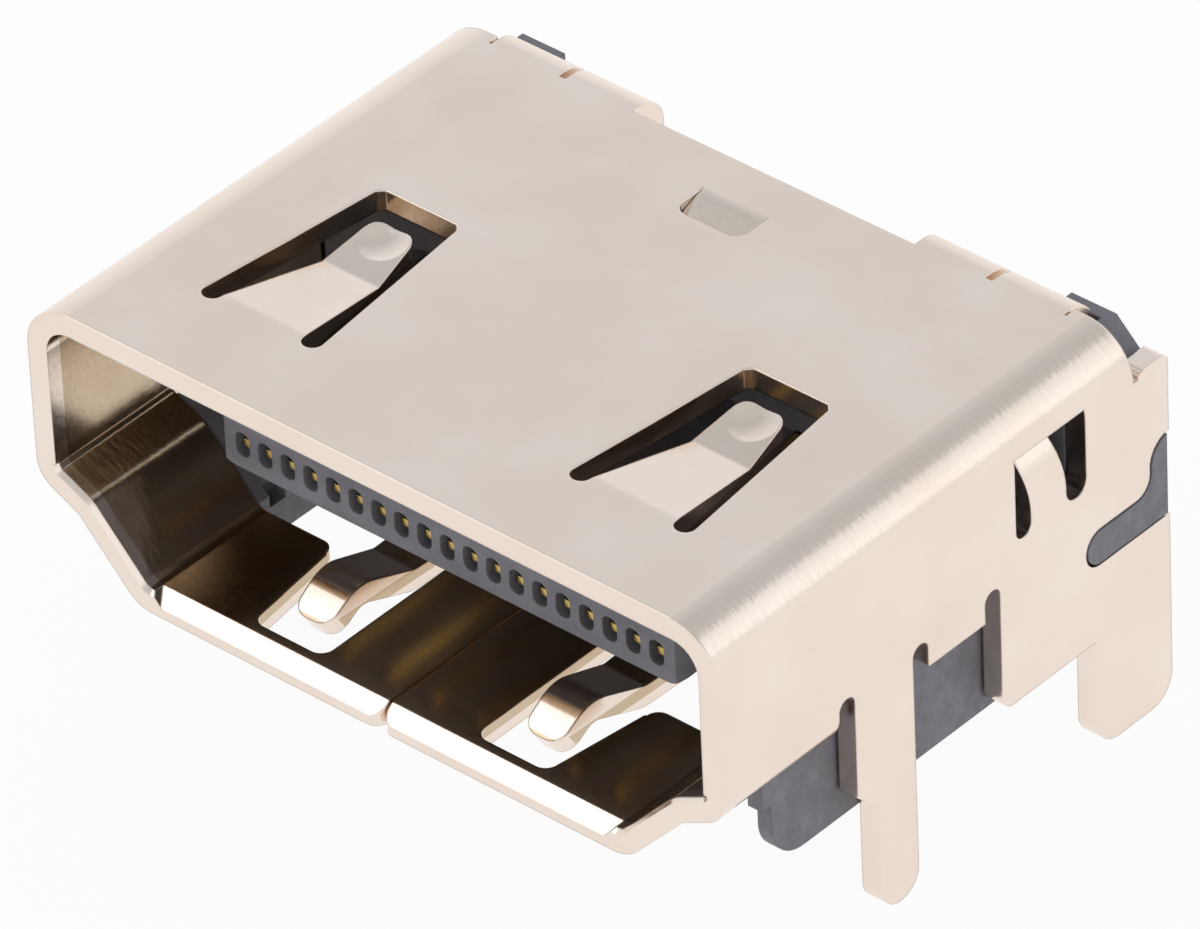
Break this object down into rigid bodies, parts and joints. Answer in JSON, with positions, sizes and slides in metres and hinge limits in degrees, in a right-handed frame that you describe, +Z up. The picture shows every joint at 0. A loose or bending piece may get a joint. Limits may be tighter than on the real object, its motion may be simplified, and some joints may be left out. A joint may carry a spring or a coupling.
{
  "type": "board-mount audio-video socket",
  "caption": "Right-angle board socket for a flat audio-video plug: a folded sheet shell with solder legs around a plastic housing whose tongue carries the contacts.",
  "frame": {"origin": "on the board's top face, midway between the four solder legs", "axes": "+Z up from the board, +X along the width of the mouth, -Y out of the mouth"},
  "size_m": [0.015, 0.0114, 0.0079],
  "materials": {
    "plated_sheet": "nickel-plated, satin",
    "moulded_plastic": "moulded, dull",
    "plated_contact": "gold-plated"
  },
  "bodies": {
    "root": {"shell": "plated_sheet", "housing": "moulded_plastic", "contact_01": "plated_contact", "contact_02": "plated_contact", "contact_03": "plated_contact", "contact_04": "plated_contact", "contact_05": "plated_contact", "contact_06": "plated_contact", "contact_07": "plated_contact", "contact_08": "plated_contact", "contact_09": "plated_contact", "contact_10": "plated_contact", "contact_11": "plated_contact", "contact_12": "plated_contact", "contact_13": "plated_contact", "contact_14": "plated_contact", "contact_15": "plated_contact", "contact_16": "plated_contact", "contact_17": "plated_contact", "contact_18": "plated_contact", "contact_19": "plated_contact"}
  },
  "joints": []
}
